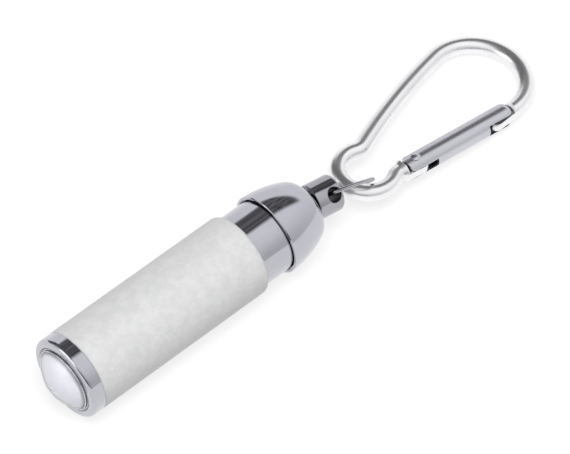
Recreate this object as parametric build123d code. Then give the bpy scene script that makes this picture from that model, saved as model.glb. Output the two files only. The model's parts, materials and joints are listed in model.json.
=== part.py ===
"""Keychain torch with a sliding zoom head, on a small snap hook.

Frame: +X runs along the torch from the lens to the keyring lug, +Z is up.  The
origin is on the torch's axis, inside the grip sleeve.  Lengths are millimetres.
"""
import os
from math import asin, atan2, cos, degrees, hypot, radians, sin, sqrt

from build123d import *

os.makedirs("parts", exist_ok=True)

# ---- driving dimensions: the torch ------------------------------------------
grip_r = 10.0             # white grip sleeve, outside
seam_x = -22.0            # joint between the bezel and the sleeve
grip_rear_x = 26.0        # rear face of the sleeve, head pulled right out
zoom_travel = 7.5         # the head slides back this far
barrel_r = 8.97           # bright barrel behind the sleeve
barrel_collar_r = 9.2     # thicker part of the barrel that guides the head
barrel_bore_r = 7.3
collar_end_x = 21.7       # the collar stops against the sleeve's rear lip
barrel_front_x = -8.5
barrel_rear_x = 39.5
neck_x = 35.0             # shoulder in front of the threaded neck
neck_r = 8.0
neck_bore_r = 7.0
slide_fit = 0.06          # radial clearance of every sliding fit

# ---- driving dimensions: bezel and lens --------------------------------------
bezel_corner_r = 1.0      # quarter round at the front
bezel_front_x = -25.55
bezel_bore_r = 8.15
bezel_skirt_x = -17.2
bezel_skirt_r = 9.25
bezel_skirt_bore_r = 8.35
lens_seat_x = -22.9
lens_seat_bore_r = 7.0
lens_seat_rear_x = -21.6
lens_ball_r = 10.0
lens_apex_x = -29.1
lens_edge_r = 7.3
lens_flange_r = 8.05
lens_flange_x = (-24.7, -23.7)
ring_bead_x = -25.8       # rounded bead of the lens ring, against the lens
ring_groove_x = -25.25    # floor of the groove round the bead
ring_groove_r = (7.62, 7.74)
ring_rim_x = -25.5        # low rim against the bezel

# ---- driving dimensions: light and battery ------------------------------------
holder_front_x = -12.0
holder_r = 8.0
board_x = (-11.7, -10.7)
board_r = 6.65
cell_r = 5.25             # one AAA cell
cell_length = 44.5
cell_nub = (1.9, 0.8)     # radius and height of the positive end
contact_x = -8.2          # front end of the cell
liner_r = (5.45, 7.2)

# ---- driving dimensions: end cap ----------------------------------------------
cap_rim_x = 33.73
cap_crown_at = (33.41, 9.93)  # where the dome's long curve runs level
cap_crown_r = 25.4        # radius of that curve
cap_crown_turn = 24.15    # degrees of it
cap_nose_r = 4.05         # tight curve round to the flat nose
cap_skirt_bore_r = 9.3
cap_thread_bore_r = 8.09
cap_seat_bore_r = 6.9
cap_cavity_r = 4.6
cap_hole_r = 2.15
cap_steps_x = (35.3, 39.8, 41.6, 44.6)  # ends of the four bores, front to back

# ---- driving dimensions: lug and small ring -----------------------------------
lug_pivot_x = 46.95       # centre of the lug's base
lug_r = 4.375
lug_length = 6.8
lug_turn = 44.2           # the lug's cross hole is turned this far about X
lug_lean = 7.7            # the loose lug leans this far from the torch's axis
lug_hole_r = 1.75
lug_hole_x = 4.5          # from the lug's base
stem_r = 1.4
stem_head_r = 3.0
stem_head = (-4.35, -3.55)
washer_x = (44.0, 44.55)
washer_r = (2.1, 4.4)

ring_r = 6.38             # centreline radius of the small ring
ring_wire_r = 0.44
ring_joint = 2.0          # degrees of gap between the ends of its wire
ring_hang = 15.1          # degrees the ring hangs below the torch's axis
ring_twist = -9.0         # degrees the ring is twisted in the lug's hole
ring_offset = (5.51, -0.08)  # ring centre from the middle of the hole

# ---- driving dimensions: snap hook --------------------------------------------
hook_place = (64.69, 0.44, -3.6)  # centre of the small loop
hook_yaw = 6.5
hook_dip = 5.0            # the wide end dips to the table
wire_r = 2.0              # hook's round bar
small_loop_r = 6.55       # centreline radii of the two ends
wide_end_r = 11.75
loop_spacing = 38.5
waist = 5.6               # centreline half width at the waist
waist_r = 3.4
back_angle = 16.0         # slope of the back where it leaves the waist
back_end_angle = 5.7      # slope of the back where it meets the wide end
tongue_angle = 12.3       # slope of the flat tongue that carries the gate
rivet_at = (9.05, -6.6)
tongue_r = 1.85
tongue_edge = 2.5         # its outer edge is this far from the rivet
tongue_tip = 0.9          # centre of its round outer corner, ahead of the rivet
tongue_half = 1.0
shoulder_r = 2.6
shoulder_at = (3.25, 3.55, 4.4)  # distances of its face, rim and root from the rivet
nose_angle = 2.0          # the nose is straight after this much turn past the bottom
nose_length = 6.1
nose_half = 1.05          # the nose is thinned to fit the gate's slot
nose_flat_from = 37.4     # the thinning starts here, with a slope

gate_angle = -10.2
gate_r = 2.7
gate_bore_r = 2.2
gate_reach = 28.05
gate_heel = 2.95
gate_slots = (1.0, 5.0, 20.3)  # ends of the heel slots, start of the nose slot
heel_slot_half = 1.1
nose_slot_half = 1.75
rivet_r = 0.75
rivet_head_r = 1.15
rivet_head = (2.72, 3.2)   # underside and top of the domed head
plunger_x = (3.55, 5.6, 6.4, 8.2)  # tip, front and back of the disc, end of the tail
gate_stop_x = (12.4, 13.0)

# ---- places -------------------------------------------------------------------
lug_frame = Pos(lug_pivot_x, 0, 0) * Rot(lug_turn, 0, 0) * Rot(0, 0, -lug_lean)
hole_centre = (lug_frame * Pos(lug_hole_x, 0, 0)).position
ring_frame = Pos(*hole_centre) * Rot(lug_turn, 0, 0) * Rot(0, 0, -ring_hang) * Rot(ring_twist, 0, 0)
hook_frame = Pos(*hook_place) * Rot(0, 0, hook_yaw) * Rot(0, hook_dip, 0)
gate_frame = hook_frame * Pos(rivet_at[0], rivet_at[1], 0) * Rot(0, 0, gate_angle)
tongue_frame = Pos(rivet_at[0], rivet_at[1], 0) * Rot(0, 0, -tongue_angle)


def turned(*profile):
    """A closed profile of (x, r) points and arcs, turned about the torch's axis.

    A plain point continues with a straight line.  A pair of points is the middle
    and the end of an arc.
    """
    edges = []
    here = profile[0]
    for step in profile[1:] + (profile[0],):
        if isinstance(step[0], tuple):
            middle, there = step
            edges.append(ThreePointArc(here, middle, there))
        else:
            there = step
            edges.append(Line(here, there))
        here = there
    return revolve(make_face(Wire(edges)), Axis.X)


def tube(x0, x1, inner, outer):
    """A plain ring or tube on the torch's axis."""
    return turned((x0, inner), (x1, inner), (x1, outer), (x0, outer))


def rod(x0, x1, radius):
    """A plain cylinder on the X axis."""
    return Pos((x0 + x1) / 2, 0, 0) * Rot(0, 90, 0) * Cylinder(radius, x1 - x0)


def o_ring(x, centre_r, section_r):
    """A rubber ring on the torch's axis."""
    return Pos(x, 0, 0) * Rot(0, 90, 0) * Torus(centre_r, section_r)


def on_arc(centre, radius, angle):
    """The point of a circle at an angle, in degrees from the first axis."""
    return (centre[0] + radius * cos(radians(angle)), centre[1] + radius * sin(radians(angle)))


def coil(x0, x1, radius, section_r, turns):
    """A compression spring on the X axis, between two flat faces."""
    length = x1 - x0 - 2 * section_r
    path = Helix(length / turns, length, radius)
    section = (path ^ 0) * Circle(section_r)
    return Pos(x0 + section_r, 0, 0) * Rot(0, 90, 0) * sweep(section, path, is_frenet=True)


# ---- head: sleeve, bezel and lens ----------------------------------------------
def grip_sleeve():
    bore = barrel_collar_r + slide_fit
    lip_bore = barrel_r + slide_fit
    corner = 1.1
    rear = (grip_rear_x - corner, grip_r - corner)
    return turned(
        (seam_x, bore),
        (collar_end_x + 0.3, bore),
        (collar_end_x + 0.3, lip_bore),
        (grip_rear_x - 0.15, lip_bore),
        (grip_rear_x, lip_bore + 0.1),
        (on_arc(rear, corner, 30), on_arc(rear, corner, 90)),
        (seam_x + 0.2, grip_r),
        (seam_x, grip_r - 0.2),
    )


def bezel_ring():
    corner = (bezel_front_x + bezel_corner_r, grip_r - bezel_corner_r)
    return turned(
        (seam_x, grip_r - 0.2),
        (seam_x - 0.2, grip_r),
        on_arc(corner, bezel_corner_r, 90),
        (on_arc(corner, bezel_corner_r, 135), on_arc(corner, bezel_corner_r, 180)),
        (bezel_front_x, bezel_bore_r + 0.1),
        (bezel_front_x + 0.1, bezel_bore_r),
        (lens_seat_x, bezel_bore_r),
        (lens_seat_x, lens_seat_bore_r),
        (lens_seat_rear_x, lens_seat_bore_r),
        (lens_seat_rear_x, bezel_skirt_bore_r),
        (bezel_skirt_x, bezel_skirt_bore_r),
        (bezel_skirt_x, bezel_skirt_r - 0.2),
        (bezel_skirt_x - 0.2, bezel_skirt_r),
        (seam_x, bezel_skirt_r),
    )


def lens():
    centre = (lens_apex_x + lens_ball_r, 0)
    edge_turn = degrees(asin(lens_edge_r / lens_ball_r))
    return turned(
        (lens_apex_x, 0),
        (on_arc(centre, lens_ball_r, 180 - edge_turn / 2), on_arc(centre, lens_ball_r, 180 - edge_turn)),
        (lens_flange_x[0], lens_edge_r),
        (lens_flange_x[0], lens_flange_r),
        (lens_flange_x[1], lens_flange_r),
        (lens_flange_x[1], 0),
    )


def lens_ring():
    inner = lens_edge_r + 0.05
    outer = bezel_bore_r - 0.05
    groove_inner, groove_outer = ring_groove_r
    bead_top = (ring_bead_x - 0.16, (inner + groove_inner) / 2)
    return turned(
        (lens_flange_x[0], inner),
        (ring_bead_x, inner),
        (bead_top, (ring_bead_x, groove_inner)),
        (ring_groove_x, groove_inner),
        (ring_groove_x, groove_outer),
        (ring_rim_x, groove_outer + 0.03),
        (ring_rim_x + 0.04, outer - 0.08),
        (ring_groove_x, outer),
        (lens_flange_x[0], outer),
    )


def lens_gasket():
    section_r = (lens_seat_x - lens_flange_x[1]) / 2
    return o_ring(lens_flange_x[1] + section_r, 7.55, section_r)


# ---- barrel: tube, light and battery ---------------------------------------------
zoom_groove_x = (-5.6, -4.4)
zoom_groove_r = 8.3
neck_groove_x = (35.6, 36.4)
neck_groove_r = 7.5


def barrel_tube():
    body = turned(
        (barrel_front_x, barrel_bore_r),
        (neck_x - 1.2, barrel_bore_r),
        (neck_x - 1.0, neck_bore_r),
        (barrel_rear_x, neck_bore_r),
        (barrel_rear_x, neck_r - 0.3),
        (barrel_rear_x - 0.3, neck_r),
        (neck_x, neck_r),
        (neck_x, barrel_r - 0.2),
        (neck_x - 0.2, barrel_r),
        (collar_end_x, barrel_r),
        (collar_end_x, barrel_collar_r),
        (barrel_front_x + 0.3, barrel_collar_r),
        (barrel_front_x, barrel_collar_r - 0.3),
    )
    body -= tube(*zoom_groove_x, zoom_groove_r, grip_r)
    body -= tube(*neck_groove_x, neck_groove_r, grip_r)
    return body


def zoom_o_ring():
    section_r = (barrel_collar_r - zoom_groove_r) / 2
    return o_ring(sum(zoom_groove_x) / 2, zoom_groove_r + 0.01 + section_r, section_r)


def neck_o_ring():
    section_r = 0.27
    return o_ring(sum(neck_groove_x) / 2, neck_groove_r + 0.01 + section_r, section_r)


def led_holder():
    wall = (-9.5, barrel_front_x)
    spigot_x = -5.4
    body = rod(holder_front_x, barrel_front_x, holder_r)
    body += rod(barrel_front_x, spigot_x, barrel_bore_r - 0.05)
    body -= rod(holder_front_x, board_x[1], board_r + 0.05)
    body -= rod(board_x[1], wall[0], 5.6)
    body -= rod(wall[0], wall[1], 0.95)
    body -= rod(wall[1], spigot_x, 6.0)
    return body


def led_board():
    return rod(*board_x, board_r)


def led_emitter():
    base_x = board_x[0] - 0.6
    base = Pos((base_x + board_x[0]) / 2, 0, 0) * Box(0.6, 3.5, 3.5)
    dome = Pos(base_x, 0, 0) * Sphere(1.3)
    front = Pos(base_x - 1.5, 0, 0) * Box(3.0, 4.0, 4.0)
    return base + (dome & front)


def driver_choke():
    """The booster's coil, on the back of the board."""
    return Pos(0, 3.0, 0) * rod(board_x[1], board_x[1] + 1.0, 1.5)


def driver_chip():
    return Pos(board_x[1] + 0.35, -3.0, 0.6) * Box(0.7, 2.6, 2.6)


def positive_contact():
    plate = rod(barrel_front_x, contact_x, 3.0)
    return plate + rod(board_x[1], barrel_front_x, 0.9)


def battery_liner():
    return tube(-5.2, neck_x - 1.3, *liner_r)


def battery_cell():
    nub_r, nub_height = cell_nub
    can_x = contact_x + nub_height
    rear_x = contact_x + cell_length
    return turned(
        (contact_x, 0),
        (contact_x, nub_r),
        (can_x, nub_r),
        (can_x, cell_r - 0.5),
        (can_x + 0.5, cell_r),
        (rear_x - 0.5, cell_r),
        (rear_x, cell_r - 0.5),
        (rear_x, 0),
    )


# ---- end cap -----------------------------------------------------------------------
def dome_cap():
    crown = (cap_crown_at[0], cap_crown_at[1] - cap_crown_r)
    joint = on_arc(crown, cap_crown_r, 90 - cap_crown_turn)
    nose = (
        joint[0] - cap_nose_r * sin(radians(cap_crown_turn)),
        joint[1] - cap_nose_r * cos(radians(cap_crown_turn)),
    )
    skirt_x, thread_x, seat_x, cavity_x = cap_steps_x
    return turned(
        (cap_rim_x, cap_crown_at[1] - 0.15),
        on_arc(crown, cap_crown_r, 88.9),
        (on_arc(crown, cap_crown_r, 90 - cap_crown_turn / 2), joint),
        (on_arc(nose, cap_nose_r, 45 - cap_crown_turn / 2), on_arc(nose, cap_nose_r, 0)),
        (nose[0] + cap_nose_r, cap_hole_r),
        (cavity_x, cap_hole_r),
        (cavity_x, cap_cavity_r),
        (seat_x, cap_cavity_r),
        (seat_x, cap_seat_bore_r),
        (thread_x, cap_seat_bore_r),
        (thread_x, cap_thread_bore_r),
        (skirt_x, cap_thread_bore_r),
        (skirt_x, cap_skirt_bore_r),
        (cap_rim_x, cap_skirt_bore_r),
    )


def contact_plate():
    seat_x = cap_steps_x[2]
    return rod(seat_x - 0.5, seat_x, cap_seat_bore_r - 0.1)


def battery_spring():
    return coil(contact_x + cell_length, cap_steps_x[2] - 0.5, 3.2, 0.25, 4)


def swivel_washer():
    return tube(*washer_x, *washer_r)


# ---- lug and small ring --------------------------------------------------------------
def lug_stud():
    body = rod(0, lug_length, lug_r)
    body = fillet(body.edges().group_by(Axis.X)[-1], 0.8)
    body = fillet(body.edges().group_by(Axis.X)[0], 0.25)
    hole = Pos(lug_hole_x, 0, 0) * Cylinder(lug_hole_r, 4 * lug_r)
    body -= hole
    mouths = body.faces().filter_by(GeomType.CYLINDER).sort_by(Axis.X)
    bore = [face for face in mouths if abs(face.radius - lug_hole_r) < 0.01][0]
    body = fillet(bore.edges().filter_by(GeomType.BSPLINE), 0.2)
    body += rod(stem_head[1], 0.1, stem_r)
    head = rod(*stem_head, stem_head_r)
    body += fillet(head.edges().group_by(Axis.X)[0], 0.3)
    return lug_frame * body


def jump_ring():
    """A round wire bent to a circle, its cut ends almost meeting behind the lug."""
    section = Pos(ring_r, 0, 0) * Rot(90, 0, 0) * Circle(ring_wire_r)
    wire = revolve(section, Axis.Z, 360 - ring_joint)
    upright = Pos(ring_offset[0], ring_offset[1], 0) * Rot(90, 0, 0) * Rot(0, 0, 215)
    return ring_frame * upright * wire


# ---- snap hook -------------------------------------------------------------------------
def waist_arc(side, slope):
    """The waist on one side of the hook: its start on the small loop, middle and end."""
    height = waist + waist_r
    along = sqrt((small_loop_r + waist_r) ** 2 - height**2)
    share = small_loop_r / (small_loop_r + waist_r)
    lean = degrees(atan2(height, along))
    start = (along * share, side * height * share)
    half_way = (180 + lean + 270 + slope) / 2
    middle = on_arc((along, height), waist_r, half_way)
    end = on_arc((along, height), waist_r, 270 + slope)
    return start, (middle[0], side * middle[1]), (end[0], side * end[1])


def hook_path():
    """The centreline of the bar, from the tongue's shoulder round to the nose."""
    shoulder = tongue_frame * Pos(-shoulder_at[0], 0, 0)
    low_start, low_middle, low_end = waist_arc(-1, tongue_angle)
    top_start, top_middle, top_end = waist_arc(1, back_angle)
    wide = (loop_spacing, 0)
    back_end = on_arc(wide, wide_end_r, 90 + back_end_angle)
    nose_start = on_arc(wide, wide_end_r, 270 - nose_angle)
    nose_end = (
        nose_start[0] - nose_length * cos(radians(nose_angle)),
        nose_start[1] + nose_length * sin(radians(nose_angle)),
    )
    path = Wire(
        [
            Line((shoulder.position.X, shoulder.position.Y), low_end),
            ThreePointArc(low_end, low_middle, low_start),
            ThreePointArc(low_start, (-small_loop_r, 0), top_start),
            ThreePointArc(top_start, top_middle, top_end),
            TangentArc(top_end, back_end, tangent=(cos(radians(back_angle)), sin(radians(back_angle)))),
            ThreePointArc(back_end, (loop_spacing + wide_end_r, 0), nose_start),
            Line(nose_start, nose_end),
        ]
    )
    return path, nose_end


def hook_body():
    path, nose_end = hook_path()
    bar = sweep((path ^ 0) * Circle(wire_r), path)
    bar += Pos(nose_end[0], nose_end[1], 0) * Sphere(wire_r)
    flat_end = nose_flat_from - (wire_r - nose_half)
    above = wire_r + 0.5
    outline = Polyline(
        (flat_end - 12, nose_half),
        (flat_end, nose_half),
        (nose_flat_from + 0.5, above),
        (flat_end - 12, above),
        close=True,
    )
    flat = Pos(0, nose_end[1], 0) * extrude(Plane.XZ * make_face(outline), 4, both=True)
    bar -= flat
    bar -= mirror(flat, Plane.XY)
    face, rim, root = shoulder_at
    bar += tongue_frame * rod(-rim, -face, shoulder_r)
    flare = Cone(wire_r - 0.02, shoulder_r, root - rim)
    bar += tongue_frame * Pos(-(root + rim) / 2, 0, 0) * Rot(0, 90, 0) * flare
    thick = 2 * tongue_half
    tongue = Pos(-rim / 2, (tongue_r - tongue_edge) / 2, 0) * Box(rim, tongue_r + tongue_edge, thick)
    tongue += Cylinder(tongue_r, thick)
    tongue += Pos(tongue_tip / 2, -tongue_edge / 2, 0) * Box(tongue_tip, tongue_edge, thick)
    outer_side = Pos(tongue_tip, -tongue_edge / 2 + 0.1, 0) * Box(2 * tongue_edge, tongue_edge + 0.2, thick)
    tongue += Pos(tongue_tip, 0, 0) * Cylinder(tongue_edge, thick) & outer_side
    tongue -= Cylinder(rivet_r, 4 * tongue_half)
    return hook_frame * (bar + tongue_frame * tongue)


def gate_tube():
    heel_slot_in, heel_slot_out, nose_slot = gate_slots
    shell = rod(-gate_heel, gate_reach, gate_r)
    shell = fillet(shell.edges().group_by(Axis.X)[-1], 2.0)
    heel = Cylinder(gate_heel, 3 * gate_r) + Pos(gate_reach / 2, 0, 0) * Box(gate_reach, 8, 3 * gate_r)
    shell &= heel
    bore = rod(-gate_heel, gate_reach - 0.6, gate_bore_r)
    shell -= fillet(bore.edges().group_by(Axis.X)[-1], 1.5)
    shell += tube(*gate_stop_x, 1.0, gate_bore_r + 0.1)
    deep = gate_r + 0.5
    slot_in = Pos((heel_slot_in - deep) / 2, deep / 2, 0) * Box(heel_slot_in + deep, deep, 2 * heel_slot_half)
    slot_out = Pos((heel_slot_out - deep) / 2, -deep / 2, 0) * Box(heel_slot_out + deep, deep, 2 * heel_slot_half)
    nose_room = rod(nose_slot, gate_reach + 1, gate_bore_r)
    nose_room += Pos((nose_slot + gate_reach + 1) / 2, -deep / 2, 0) * Box(
        gate_reach + 1 - nose_slot, deep, 2 * gate_bore_r
    )
    nose_room &= Pos(gate_reach, 0, 0) * Box(2 * gate_reach, 2 * deep, 2 * nose_slot_half)
    shell -= slot_in
    shell -= slot_out
    shell -= nose_room
    shell -= Cylinder(rivet_r + 0.05, 4 * gate_r)
    return gate_frame * shell


def gate_rivet():
    """A riveted pin with a low dome on each end."""
    under, top = rivet_head
    rise = top - under
    dome_r = (rivet_head_r**2 + rise**2) / (2 * rise)
    dome = Pos(0, 0, top - dome_r) * Sphere(dome_r)
    dome &= Pos(0, 0, under + 1) * Box(4 * rivet_head_r, 4 * rivet_head_r, 2)
    shank = Cylinder(rivet_r, 2 * under)
    return gate_frame * (shank + dome + Rot(180, 0, 0) * dome)


def gate_plunger():
    """A pin that presses on the tongue, with a disc that the spring pushes."""
    tip, front, back, tail = plunger_x
    return gate_frame * (rod(tip, tail, 0.8) + rod(front, back, gate_bore_r - 0.1))


def gate_spring():
    return gate_frame * coil(plunger_x[2], gate_stop_x[0], 1.45, 0.175, 8)


nodes = {
    "grip_sleeve": grip_sleeve,
    "bezel_ring": bezel_ring,
    "lens": lens,
    "lens_ring": lens_ring,
    "lens_gasket": lens_gasket,
    "barrel_tube": barrel_tube,
    "zoom_o_ring": zoom_o_ring,
    "neck_o_ring": neck_o_ring,
    "led_holder": led_holder,
    "led_board": led_board,
    "led_emitter": led_emitter,
    "driver_choke": driver_choke,
    "driver_chip": driver_chip,
    "positive_contact": positive_contact,
    "battery_liner": battery_liner,
    "battery_cell": battery_cell,
    "dome_cap": dome_cap,
    "contact_plate": contact_plate,
    "battery_spring": battery_spring,
    "swivel_washer": swivel_washer,
    "lug_stud": lug_stud,
    "jump_ring": jump_ring,
    "hook_body": hook_body,
    "gate_rivet": gate_rivet,
    "gate_tube": gate_tube,
    "gate_plunger": gate_plunger,
    "gate_spring": gate_spring,
}

for name, make in nodes.items():
    export_step(make(), f"parts/{name}.step")
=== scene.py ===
"""Looks of the keychain torch: materials, floor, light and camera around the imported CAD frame."""

import json
from math import cos, radians, sin

import bpy
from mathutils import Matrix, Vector

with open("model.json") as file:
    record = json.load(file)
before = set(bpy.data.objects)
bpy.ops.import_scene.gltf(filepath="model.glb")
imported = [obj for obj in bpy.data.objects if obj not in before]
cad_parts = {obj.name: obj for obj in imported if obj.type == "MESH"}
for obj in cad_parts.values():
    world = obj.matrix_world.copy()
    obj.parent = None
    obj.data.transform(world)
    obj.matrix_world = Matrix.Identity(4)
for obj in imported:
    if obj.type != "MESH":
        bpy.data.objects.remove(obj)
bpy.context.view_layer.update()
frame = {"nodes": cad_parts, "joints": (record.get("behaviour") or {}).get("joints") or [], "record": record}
scene = bpy.context.scene
scene.view_settings.view_transform = "Standard"
nodes = frame["nodes"]

# Lengths are in metres and angles in degrees. The torch's axis is X, with the lens at -X.
FLOOR_Z = -0.01002                      # just under the sleeve
FLOOR_HALF_SIZE = 3.0
FLOOR_GLOW = 0.77
FLOOR_TONES = (0.14, 0.15)

WALL_LEFT, WALL_RIGHT = 0.50, 0.72      # brightness of the walls low down
WALL_BEHIND = 0.28                      # added to the wall towards +Y
OVERHEAD = 1.06
CEILING = 0.15                          # the unlit ceiling
CEILING_DARKEST, CEILING_BRIGHTEST = 0.5, 1.4   # shares of it, where clutter shades or lights it
SKY_TINT = (0.99, 0.99, 1.0, 1.0)

TOP_LIGHT_PLACE, TOP_LIGHT_TARGET = (-0.25, -0.28, 1.15), (0.03, 0, 0)
TOP_LIGHT_SIZE, TOP_LIGHT_POWER = 0.7, 21.0

CAMERA_AZIMUTH, CAMERA_ELEVATION = -42.337, 51.892
CAMERA_PLACE = (-0.42522, -0.50998, 0.87769)
SENSOR_WIDTH_MM, FOCAL_LENGTH_MM = 36.0, 316.73
CLIP_NEAR, CLIP_FAR = 0.05, 20.0

FINE_DEPTH, GRAIN_DEPTH, LENS_DEPTH = 0.00002, 0.00003, 0.00001     # of the bumps
STREAKED = (0.06, 1.0, 1.0)             # draws a noise out along the torch
ACROSS = (0.0, 1.0, 1.0)                # leaves only the part across the torch's axis
LENS_RINGS, TOOL_MARKS = 9000.0, 42000.0        # radians of wave per metre of radius
# radii between which the lens's painted dark reflection at its rim fades in
LENS_RIM_INSIDE, LENS_RIM_OUTSIDE = 0.0066, 0.0073
# radii of the knurled band, where painted shade fills the grooves
KNURL_INSIDE, KNURL_OUTSIDE = 0.00762, 0.0077
# radii where the painted shade inside the lug's cross hole fades out
LUG_HOLE_INSIDE, LUG_HOLE_OUTSIDE = 0.00174, 0.00178

WHITE = (1.0, 1.0, 1.0, 1.0)
PEARL_DARK, PEARL_LIGHT = (0.362, 0.362, 0.363, 1), (0.406, 0.406, 0.407, 1)
# the lens's milky middle, and the painted dark reflection at its rim
LENS_MIDDLE, LENS_RIM_REFLECTION = (0.565, 0.57, 0.61, 1), (0.24, 0.24, 0.26, 1)
# painted shade in the knurl's grooves
KNURL_GROOVE_SHADE = (0.16, 0.16, 0.17, 1)
LUG_LIGHT, LUG_DARK = (0.40, 0.40, 0.43, 1), (0.36, 0.36, 0.39, 1)
# painted shade inside the lug's cross hole
LUG_HOLE_SHADE = (0.03, 0.03, 0.03, 1)


# ---- node helpers -----------------------------------------------------------------
class Graph:
    """A node tree with short calls."""

    def __init__(self, tree):
        self.tree = tree

    def feed(self, socket, value):
        """Links an output into the input socket, or sets the socket to a plain value."""
        if isinstance(value, bpy.types.NodeSocket):
            self.tree.links.new(value, socket)
        else:
            socket.default_value = value

    def node(self, kind, inputs=None, **settings):
        """A new node: inputs go to its sockets, by name or number, and settings to its fields."""
        made = self.tree.nodes.new(kind)
        for name, value in settings.items():
            setattr(made, name, value)
        for name, value in (inputs or {}).items():
            self.feed(made.inputs[name], value)
        return made

    def math(self, operation, a, b=0.0):
        return self.node("ShaderNodeMath", {0: a, 1: b}, operation=operation).outputs[0]

    def vector_math(self, operation, a, *b, output="Vector"):
        inputs = dict(enumerate((a, *b)))
        return self.node("ShaderNodeVectorMath", inputs, operation=operation).outputs[output]

    def dot(self, vector, direction):
        return self.vector_math("DOT_PRODUCT", vector, direction, output="Value")

    def scale(self, vector, factors):
        return self.vector_math("MULTIPLY", vector, factors)

    def length(self, vector):
        return self.vector_math("LENGTH", vector, output="Value")

    def step(self, value, low, high, to_low=0.0, to_high=1.0, smooth=True):
        """The value carried from low..high to to_low..to_high, held at both ends."""
        return self.node(
            "ShaderNodeMapRange",
            {
                "Value": value, "From Min": low, "From Max": high,
                "To Min": to_low, "To Max": to_high,
            },
            interpolation_type="SMOOTHSTEP" if smooth else "LINEAR",
        ).outputs["Result"]

    def mixed(self, data_type, suffix, factor, a, b):
        """A mix node's result. Its sockets share their names, so identifiers tell them apart."""
        made = self.node("ShaderNodeMix", data_type=data_type)
        for name, value in (("Factor_Float", factor), ("A_" + suffix, a), ("B_" + suffix, b)):
            self.feed(next(s for s in made.inputs if s.identifier == name), value)
        return next(s for s in made.outputs if s.identifier == "Result_" + suffix)

    def blend(self, factor, a, b):
        """The number a carried to b as the factor goes from 0 to 1."""
        return self.mixed("FLOAT", "Float", factor, a, b)

    def mix(self, factor, a, b):
        """The colour a carried to b as the factor goes from 0 to 1."""
        return self.mixed("RGBA", "Color", factor, a, b)

    def noise(self, vector, scale, detail=4.0, roughness=0.55):
        inputs = {"Vector": vector, "Scale": scale, "Detail": detail, "Roughness": roughness}
        return self.node("ShaderNodeTexNoise", inputs).outputs["Fac"]


class Surface(Graph):
    """A Principled material's graph. Keywords name shader inputs, with _ for a space."""

    def __init__(self, name, **shader):
        self.material = bpy.data.materials.new(name)
        self.material.use_nodes = True
        super().__init__(self.material.node_tree)
        self.shader = self.tree.nodes["Principled BSDF"]
        self.set(**shader)
        self.place = self.node("ShaderNodeTexCoord").outputs["Object"]

    def set(self, **shader):
        for name, value in shader.items():
            self.feed(self.shader.inputs[name.replace("_", " ")], value)

    def bump(self, height, strength, distance=FINE_DEPTH):
        inputs = {"Height": height, "Strength": strength, "Distance": distance}
        self.set(Normal=self.node("ShaderNodeBump", inputs).outputs["Normal"])

    def from_axis(self):
        """The distance from the torch's axis."""
        return self.length(self.scale(self.place, ACROSS))


def grey(value):
    return (value, value, value, 1.0)


def dimmed(colour, factor):
    return tuple(channel * factor for channel in colour[:3]) + (1.0,)


# ---- materials -----------------------------------------------------------------------
def plated(name, colour, roughness):
    """Bright plating over turned metal: lengthwise polishing lines, soft smudges, a slight haze."""
    surface = Surface(name, Metallic=1.0)
    lines = surface.noise(surface.scale(surface.place, STREAKED), 900.0, 5.0, 0.6)
    smudge = surface.noise(surface.place, 90.0, 3.0)
    surface.set(
        Base_Color=surface.mix(surface.step(smudge, 0.35, 0.7), colour, dimmed(colour, 0.95)),
        Roughness=surface.step(smudge, 0.3, 0.75, roughness, roughness + 0.04),
    )
    surface.bump(lines, 0.25)
    return surface.material


def sleeve_material():
    """White pearl lacquer: cloudy mottling a few millimetres across and a fine leathery grain."""
    surface = Surface("white_pearl", Coat_Weight=0.1, Coat_Roughness=0.35)
    cloud = surface.noise(surface.place, 420.0, 5.0, 0.6)
    grain = surface.noise(surface.place, 1400.0, 3.0, 0.5)
    both = surface.math(
        "ADD", surface.math("MULTIPLY", cloud, 0.7), surface.math("MULTIPLY", grain, 0.3)
    )
    surface.set(
        Base_Color=surface.mix(surface.step(both, 0.35, 0.65), PEARL_DARK, PEARL_LIGHT),
        Roughness=surface.step(cloud, 0.35, 0.7, 0.36, 0.5),
    )
    surface.bump(grain, 0.25, GRAIN_DEPTH)
    return surface.material


def lens_material():
    """Clear moulded acrylic, milky from the light it gathers, with a painted dark reflection greying its
    rim.
    """
    surface = Surface(
        "milky_lens", IOR=1.49, Coat_Weight=0.4, Coat_Roughness=0.03,
        Subsurface_Weight=1.0, Subsurface_Radius=(1.0, 1.0, 1.0), Subsurface_Scale=0.003
    )
    radius = surface.from_axis()
    rings = surface.math("SINE", surface.math("MULTIPLY", radius, LENS_RINGS))
    # painted dark reflection at the lens's rim
    rim = surface.step(radius, LENS_RIM_INSIDE, LENS_RIM_OUTSIDE)
    facing = surface.node("ShaderNodeLayerWeight", {"Blend": 0.5}).outputs["Facing"]
    cloud = surface.noise(surface.place, 300.0, 3.0)
    surface.set(
        Base_Color=surface.mix(rim, LENS_MIDDLE, LENS_RIM_REFLECTION),
        Transmission_Weight=surface.step(facing, 0.6, 0.92, 0.12, 0.9),
        Roughness=surface.step(cloud, 0.3, 0.7, 0.06, 0.12),
    )
    surface.bump(rings, 0.02, LENS_DEPTH)
    return surface.material


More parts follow.
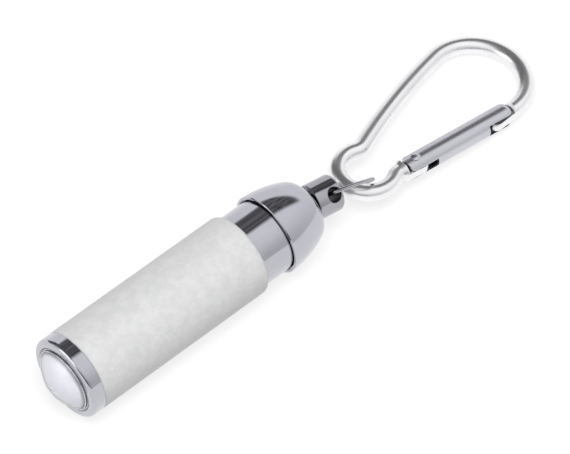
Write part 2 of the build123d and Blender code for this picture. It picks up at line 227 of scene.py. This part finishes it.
def turned_material(name, colour, roughness, teeth=0):
    """Machined metal: tool marks about the torch's axis, and, if it has teeth, knurling on the rim drawn as
    painted shade in its grooves.
    """
    surface = Surface(name, Metallic=1.0)
    radius = surface.from_axis()
    marks = surface.math("SINE", surface.math("MULTIPLY", radius, TOOL_MARKS))
    wear = surface.noise(surface.place, 700.0)
    tone = surface.mix(surface.step(wear, 0.3, 0.7), colour, dimmed(colour, 0.8))
    if teeth:
        _, y, z = surface.node("ShaderNodeSeparateXYZ", {0: surface.place}).outputs
        angle = surface.math("ARCTAN2", y, z)
        tooth = surface.math("SINE", surface.math("MULTIPLY", angle, float(teeth)))
        on_rim = surface.step(radius, KNURL_INSIDE, KNURL_OUTSIDE)
        # painted shade in the knurl's grooves, on the rim only
        groove_shade = surface.math("MULTIPLY", surface.step(tooth, -0.2, 0.3), on_rim)
        tone = surface.mix(groove_shade, tone, KNURL_GROOVE_SHADE)
    surface.set(
        Base_Color=tone, Roughness=surface.step(wear, 0.3, 0.7, roughness, roughness + 0.12)
    )
    surface.bump(marks, 0.2)
    return surface.material


def plastic(name, dark, light, roughness, scale=600.0):
    """Moulded plastic, rubber or lacquer: a faint grain and a slightly uneven tone."""
    surface = Surface(name)
    grain = surface.noise(surface.place, scale)
    surface.set(
        Base_Color=surface.mix(surface.step(grain, 0.3, 0.7), dark, light),
        Roughness=surface.step(grain, 0.3, 0.7, roughness, roughness + 0.1),
    )
    surface.bump(grain, 0.3)
    return surface.material


def lug_material():
    """Duller plating than the torch's, with painted shade inside the cross hole."""
    surface = Surface("lug_plating", Metallic=1.0)
    hole = next(joint for joint in frame["joints"] if joint["name"] == "ring_swing")
    from_hole = surface.vector_math("SUBTRACT", surface.place, hole["pos_m"])
    distance = surface.length(surface.vector_math("CROSS_PRODUCT", from_hole, hole["axis"]))
    # painted shade inside the cross hole: dark and rough within the bore's radius
    inside = surface.step(distance, LUG_HOLE_INSIDE, LUG_HOLE_OUTSIDE, 1.0, 0.0)
    smudge = surface.noise(surface.place, 200.0)
    plate = surface.mix(surface.step(smudge, 0.35, 0.7), LUG_LIGHT, LUG_DARK)
    surface.set(
        Base_Color=surface.mix(inside, plate, LUG_HOLE_SHADE),
        Roughness=surface.step(inside, 0.0, 1.0, 0.05, 0.5),
    )
    lines = surface.noise(surface.scale(surface.place, STREAKED), 1100.0, 4.0, 0.6)
    surface.bump(lines, 0.25)
    return surface.material


looks = {
    "white_sleeve": sleeve_material(),
    "bright_plate": plated("bright_plating", (0.515, 0.515, 0.56, 1), 0.05),
    "dark_ring": turned_material("turned_ring", (0.72, 0.72, 0.76, 1), 0.12, teeth=160),
    "lens_plastic": lens_material(),
    "black_rubber": plastic("black_rubber", (0.012, 0.012, 0.012, 1), (0.03, 0.03, 0.03, 1), 0.55),
    "holder_plastic": plastic("holder_plastic", (0.60, 0.60, 0.57, 1), (0.70, 0.70, 0.67, 1), 0.4),
    "board_white": plastic("board_mask", (0.72, 0.74, 0.70, 1), (0.80, 0.81, 0.79, 1), 0.3, 900.0),
    "led_phosphor": plastic(
        "led_phosphor", (0.80, 0.62, 0.12, 1), (0.90, 0.76, 0.25, 1), 0.2, 2500.0
    ),
    "part_black": plastic(
        "part_black", (0.02, 0.02, 0.022, 1), (0.045, 0.045, 0.05, 1), 0.4, 1500.0
    ),
    "brass": turned_material("turned_brass", (0.72, 0.52, 0.22, 1), 0.22),
    "cell_wrap": plastic("cell_wrap", (0.08, 0.16, 0.34, 1), (0.11, 0.21, 0.42, 1), 0.25, 300.0),
    "liner_plastic": plastic("liner_plastic", (0.03, 0.03, 0.032, 1), (0.05, 0.05, 0.055, 1), 0.45),
    "spring_steel": plated("spring_wire", (0.55, 0.55, 0.57, 1), 0.18),
    "ring_steel": plated("ring_wire", (0.42, 0.42, 0.44, 1), 0.10),
    "hook_plate": plated("hook_plating", (0.92, 0.92, 0.93, 1), 0.26),
    "gate_plate": plated("gate_plating", (0.60, 0.60, 0.645, 1), 0.28),
}

slot_of = {part["node"]: part["material_slot"] for part in frame["record"]["subparts"]}
for name, obj in nodes.items():
    obj.data.materials.clear()
    obj.data.materials.append(looks[slot_of[name]])
nodes["lug_stud"].data.materials[0] = lug_material()
nodes["gate_plunger"].data.materials[0] = looks["spring_steel"]


# ---- floor ------------------------------------------------------------------------------
def make_floor():
    mesh = bpy.data.meshes.new("floor")
    signs = ((-1, -1), (1, -1), (1, 1), (-1, 1))
    corners = [(x * FLOOR_HALF_SIZE, y * FLOOR_HALF_SIZE, FLOOR_Z) for x, y in signs]
    mesh.from_pydata(corners, [], [(0, 1, 2, 3)])
    floor = bpy.data.objects.new("floor", mesh)
    scene.collection.objects.link(floor)
    surface = Surface(
        "pale_floor", Roughness=0.9, Specular_IOR_Level=0.0,
        Emission_Color=WHITE, Emission_Strength=FLOOR_GLOW
    )
    dark, light = FLOOR_TONES
    cloud = surface.noise(surface.place, 6.0, 2.0)
    surface.set(Base_Color=surface.mix(cloud, grey(dark), grey(light)))
    mesh.materials.append(surface.material)


make_floor()


# ---- light -------------------------------------------------------------------------------
def toward(azimuth, elevation):
    """The unit direction at an azimuth from +X towards +Y, and an elevation, in degrees."""
    a, e = radians(azimuth), radians(elevation)
    return (cos(a) * cos(e), sin(a) * cos(e), sin(e))


def make_sky():
    """A studio: walls that brighten upwards and to the back right, a dark ceiling at the back."""
    world = bpy.data.worlds.new("studio")
    scene.world = world
    world.use_nodes = True
    graph = Graph(world.node_tree)
    direction = graph.node("ShaderNodeTexCoord").outputs["Generated"]
    right = graph.dot(direction, (1.0, 0.0, 0.0))
    behind = graph.dot(direction, (0.0, 1.0, 0.0))
    height = graph.dot(direction, (0.0, 0.0, 1.0))

    from_right = graph.step(right, -0.1, 0.5, WALL_LEFT, WALL_RIGHT)
    from_behind = graph.step(behind, -0.9, 0.1, 0.0, WALL_BEHIND, smooth=False)
    horizon = graph.math("ADD", from_right, from_behind)
    light = graph.blend(graph.step(height, 0.12, 0.95), horizon, OVERHEAD)

    # the ceiling's lower edge: lowest in the middle, higher to the right and at the far left
    edge_right = graph.step(right, -0.1, 0.42, -0.15, 0.50)
    edge_left = graph.step(right, -0.60, -0.40, 0.85, 0.0)
    ceiling_edge = graph.math("ADD", edge_right, edge_left)
    above = graph.step(graph.math("SUBTRACT", height, ceiling_edge), -0.06, 0.06)
    ceiling = graph.math("MULTIPLY", graph.step(behind, -0.06, 0.12), above)
    clutter = graph.noise(graph.scale(direction, (2.0, 6.0, 2.0)), 3.0, 3.0)
    unlit = graph.step(
        clutter, 0.35, 0.65, CEILING_DARKEST * CEILING, CEILING_BRIGHTEST * CEILING
    )
    light = graph.blend(ceiling, light, unlit)

    def card(light, azimuth, elevation, half_width, half_height, brightness, soft=3):
        """A soft-edged rectangle of another brightness, with its sizes in degrees."""
        a, e = radians(azimuth), radians(elevation)
        across = graph.math("ABSOLUTE", graph.dot(direction, (-sin(a), cos(a), 0.0)))
        upward = (-sin(e) * cos(a), -sin(e) * sin(a), cos(e))
        up = graph.math("ABSOLUTE", graph.dot(direction, upward))
        ahead = graph.step(graph.dot(direction, toward(azimuth, elevation)), 0.0, 0.05)
        within = [
            graph.step(offset, sin(radians(half - soft)), sin(radians(half + soft)), 1.0, 0.0)
            for offset, half in ((across, half_width), (up, half_height))
        ]
        inside = graph.math("MULTIPLY", *within)
        return graph.blend(graph.math("MULTIPLY", inside, ahead), light, brightness)

    light = card(light, azimuth=161, elevation=9, half_width=19, half_height=23, brightness=1.9)
    light = card(
        light, azimuth=209, elevation=0, half_width=27, half_height=15, brightness=0.06, soft=8
    )
    background = world.node_tree.nodes["Background"]
    graph.feed(background.inputs["Strength"], light)
    graph.feed(background.inputs["Color"], SKY_TINT)


def place_along(obj, place, ahead):
    """Puts a lamp or a camera at a place, looking along a direction with its top up."""
    obj.location = place
    obj.rotation_mode = "QUATERNION"
    obj.rotation_quaternion = ahead.to_track_quat("-Z", "Y")


def make_top_light():
    """A broad lamp overhead that mirrors don't show."""
    data = bpy.data.lights.new("soft_top", "AREA")
    data.shape = "RECTANGLE"
    data.size = data.size_y = TOP_LIGHT_SIZE
    data.energy = TOP_LIGHT_POWER
    lamp = bpy.data.objects.new("soft_top", data)
    scene.collection.objects.link(lamp)
    place_along(lamp, TOP_LIGHT_PLACE, Vector(TOP_LIGHT_TARGET) - Vector(TOP_LIGHT_PLACE))
    lamp.visible_glossy = False


make_sky()
make_top_light()


# ---- camera --------------------------------------------------------------------------------
def make_camera():
    """The camera's azimuth is measured from -Y towards +X."""
    azimuth, elevation = radians(CAMERA_AZIMUTH), radians(CAMERA_ELEVATION)
    back = Vector((sin(azimuth) * cos(elevation), -cos(azimuth) * cos(elevation), sin(elevation)))
    data = bpy.data.cameras.new("camera")
    data.sensor_width = SENSOR_WIDTH_MM
    data.lens = FOCAL_LENGTH_MM
    data.clip_start, data.clip_end = CLIP_NEAR, CLIP_FAR
    camera = bpy.data.objects.new("camera", data)
    scene.collection.objects.link(camera)
    place_along(camera, CAMERA_PLACE, -back)
    scene.camera = camera


make_camera()
